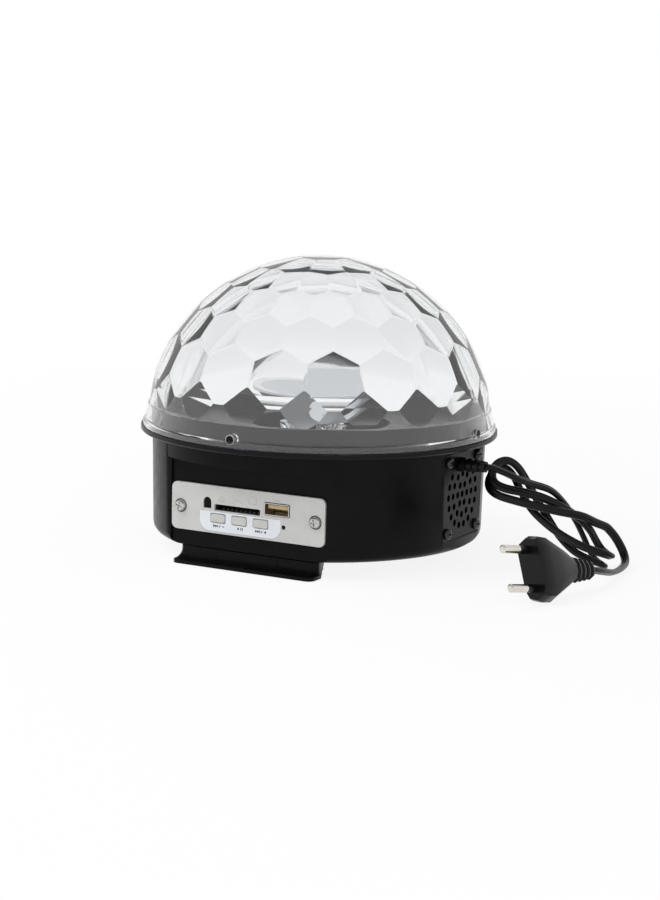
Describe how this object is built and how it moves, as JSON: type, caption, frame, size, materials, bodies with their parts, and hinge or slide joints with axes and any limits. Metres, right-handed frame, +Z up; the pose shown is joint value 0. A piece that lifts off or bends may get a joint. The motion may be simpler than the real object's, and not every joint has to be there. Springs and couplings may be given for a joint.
{
  "type": "disco light speaker",
  "caption": "Round party light with a clear faceted dome over a turning reflector, a speaker housing with a card and USB panel, and a mains lead with a two-pin plug.",
  "frame": {"origin": "on the floor under the middle of the round housing", "axes": "+Z up, the front panel faces -Y, the cord leaves the +X side"},
  "size_m": [0.2519, 0.182, 0.1496],
  "materials": {
    "black_plastic": "satin black ABS moulding",
    "dark_deck": "satin black ABS moulding",
    "clear_plastic": "clear polystyrene, polished",
    "silver_panel": "satin silver with a printed field",
    "grey_button": "satin grey",
    "steel": "zinc plated",
    "nickel": "nickel plated brass",
    "tan_plastic": "moulded insulator",
    "board_green": "solder mask",
    "dark_lens": "infrared-pass epoxy",
    "led_epoxy": "smoke-tinted epoxy",
    "aluminium": "bare",
    "mirror_silver": "vacuum-metallised plastic",
    "led_phosphor": "phosphor and white package",
    "paper_cone": "coated paper and rubber",
    "ferrite": "sintered ferrite, laminated core",
    "cord_black": "flexible PVC, satin"
  },
  "bodies": {
    "unit": {"base_housing": "black_plastic", "front_foot": "black_plastic", "rear_foot": "black_plastic", "lamp_deck": "dark_deck", "dome": "clear_plastic", "front_panel": "silver_panel", "usb_socket": "steel", "usb_tongue": "tan_plastic", "card_socket": "steel", "ir_receiver": "dark_lens", "indicator_led": "led_epoxy", "control_board": "board_green", "led_board": "aluminium", "rotor_motor": "steel", "power_board": "board_green", "power_transformer": "ferrite", "cord_strain_relief": "cord_black", "cord_lead": "cord_black", "cord_hank": "cord_black", "cord_tail": "cord_black", "plug_body": "cord_black", "plug_pin_lower": "nickel", "plug_pin_upper": "nickel", "base_screw_1": "steel", "base_screw_2": "steel", "base_screw_3": "steel", "base_screw_4": "steel", "panel_screw_left": "steel", "speaker_grille_left": "black_plastic", "speaker_basket_left": "steel", "speaker_magnet_left": "ferrite", "grille_screw_left_1": "steel", "grille_screw_left_2": "steel", "grille_screw_left_3": "steel", "grille_screw_left_4": "steel", "panel_screw_right": "steel", "speaker_grille_right": "black_plastic", "speaker_basket_right": "steel", "speaker_magnet_right": "ferrite", "grille_screw_right_1": "steel", "grille_screw_right_2": "steel", "grille_screw_right_3": "steel", "grille_screw_right_4": "steel", "led_emitter_1": "led_phosphor", "led_collimator_1": "clear_plastic", "led_emitter_2": "led_phosphor", "led_collimator_2": "clear_plastic", "led_emitter_3": "led_phosphor", "led_collimator_3": "clear_plastic"},
    "rotor": {"rotor_shaft": "steel", "rotor_reflector": "mirror_silver"},
    "button_previous": {"button_previous": "grey_button"},
    "button_play": {"button_play": "grey_button"},
    "button_next": {"button_next": "grey_button"},
    "speaker_cone_right": {"speaker_cone_right": "paper_cone"},
    "speaker_cone_left": {"speaker_cone_left": "paper_cone"}
  },
  "joints": [
    {"name": "rotor_spin", "type": "hinge", "parent": "unit", "child": "rotor", "pos_m": [0, 0, 0.0662], "axis": [0, 0, 1], "continuous": true},
    {"name": "button_previous_press", "type": "slide", "parent": "unit", "child": "button_previous", "axis": [0, 1, 0], "range_m": [0, 0.0008], "stiffness_N_per_m": 500},
    {"name": "button_play_press", "type": "slide", "parent": "unit", "child": "button_play", "axis": [0, 1, 0], "range_m": [0, 0.0008], "stiffness_N_per_m": 500},
    {"name": "button_next_press", "type": "slide", "parent": "unit", "child": "button_next", "axis": [0, 1, 0], "range_m": [0, 0.0008], "stiffness_N_per_m": 500},
    {"name": "speaker_cone_right_stroke", "type": "slide", "parent": "unit", "child": "speaker_cone_right", "axis": [1, 0, 0], "range_m": [-0.0008, 0.0008], "stiffness_N_per_m": 800},
    {"name": "speaker_cone_left_stroke", "type": "slide", "parent": "unit", "child": "speaker_cone_left", "axis": [-1, 0, 0], "range_m": [-0.0008, 0.0008], "stiffness_N_per_m": 800}
  ]
}
